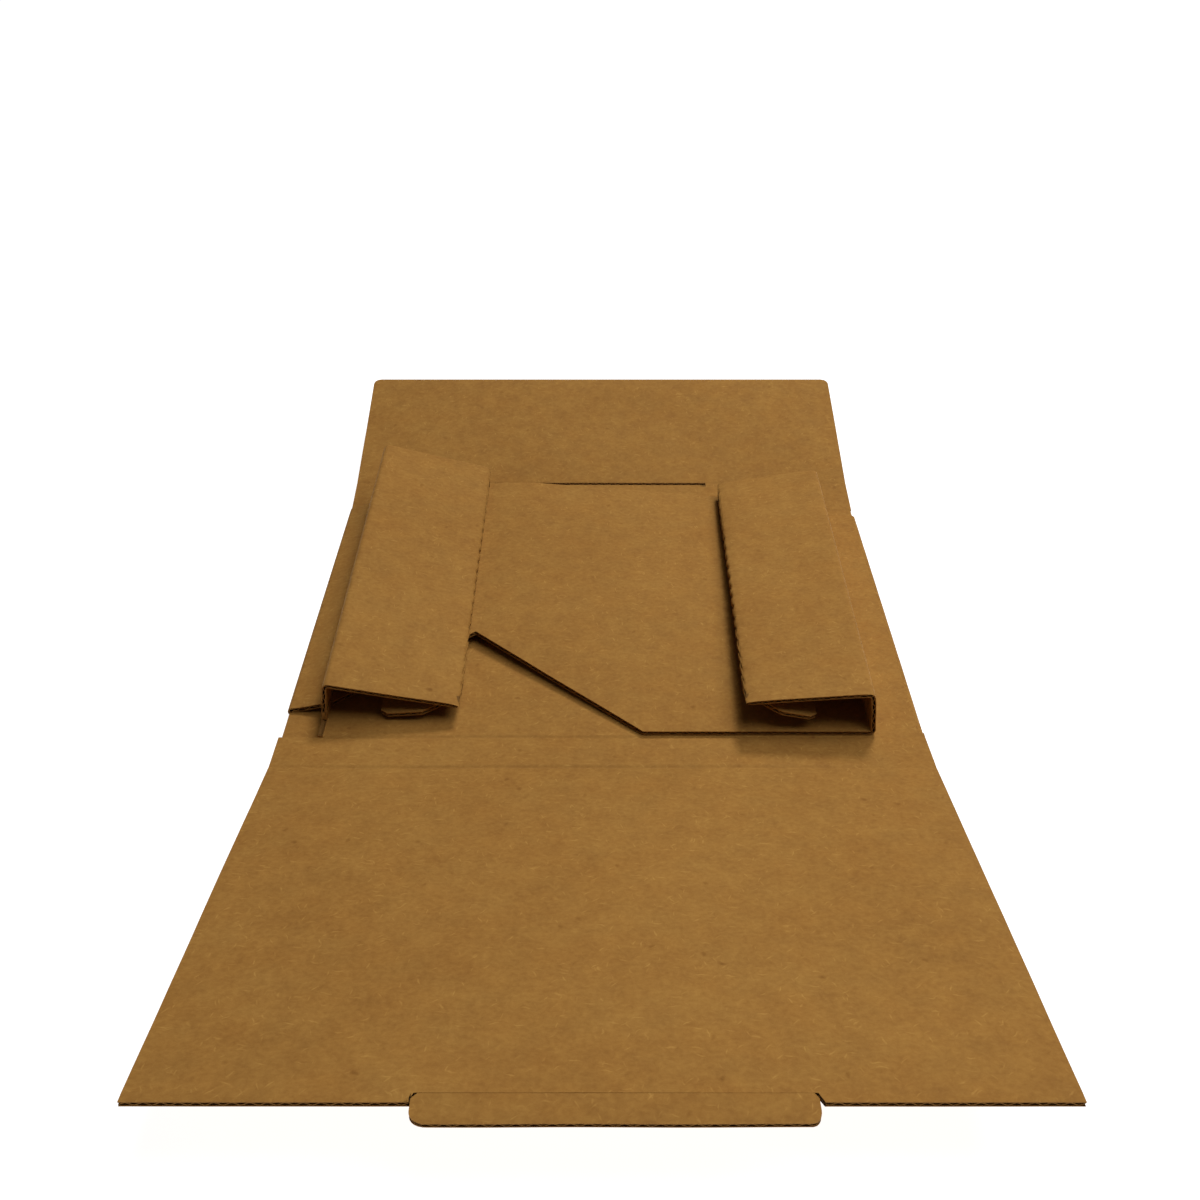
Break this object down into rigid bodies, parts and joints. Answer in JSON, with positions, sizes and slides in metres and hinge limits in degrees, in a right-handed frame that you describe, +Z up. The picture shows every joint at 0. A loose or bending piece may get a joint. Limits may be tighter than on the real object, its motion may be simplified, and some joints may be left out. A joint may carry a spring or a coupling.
{
  "type": "flattened cardboard mailer box",
  "caption": "Die-cut corrugated mailer box in its flattened state: long panel strip with side wings, walls and flaps folded in over the base.",
  "frame": {"origin": "middle of the base panel's underside", "axes": "+X right across the blank, +Y from the tuck flap at the front to the back panel, +Z up"},
  "size_m": [0.1904, 0.3349, 0.0264],
  "materials": {
    "kraft_board": "uncoated kraft paper liner, matte, fine fibres and flecks"
  },
  "bodies": {
    "root": {"box_blank": "kraft_board", "upper_wing": "kraft_board", "right_side": "kraft_board", "left_side": "kraft_board"}
  },
  "joints": []
}
